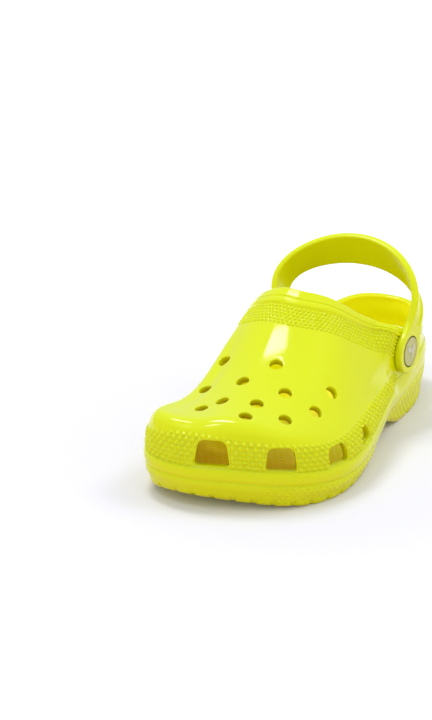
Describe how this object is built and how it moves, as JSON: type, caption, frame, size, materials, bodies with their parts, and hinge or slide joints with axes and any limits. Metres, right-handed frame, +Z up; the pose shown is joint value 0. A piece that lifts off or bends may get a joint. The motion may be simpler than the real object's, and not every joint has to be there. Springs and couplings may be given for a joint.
{
  "type": "garden clog",
  "caption": "Moulded foam garden clog for the left foot, with vented toe, closed heel cup and a pivoting heel strap.",
  "frame": {"origin": "bottom centre of the whole clog's box, on the ground under the middle of the sole", "axes": "+Z up, the toe points to -Y and the heel to +Y, +X is the outer (lateral) side of the left foot"},
  "size_m": [0.1274, 0.28, 0.1194],
  "materials": {
    "foam_body": "glossy moulded closed-cell foam",
    "foam_strap": "glossy moulded closed-cell foam",
    "rivet_disc": "glossy, slightly milky",
    "rivet_cap": "satin"
  },
  "bodies": {
    "clog": {"clog_body": "foam_body", "rivet_head_lateral": "rivet_disc", "rivet_head_medial": "rivet_disc", "rivet_cap_lateral": "rivet_cap", "rivet_cap_medial": "rivet_cap"},
    "strap": {"heel_strap": "foam_strap"}
  },
  "joints": [
    {"name": "strap_pivot", "type": "hinge", "parent": "clog", "child": "strap", "pos_m": [0, 0.054, 0.0535], "axis": [1, 0, 0], "range_deg": [-44, 64]}
  ]
}
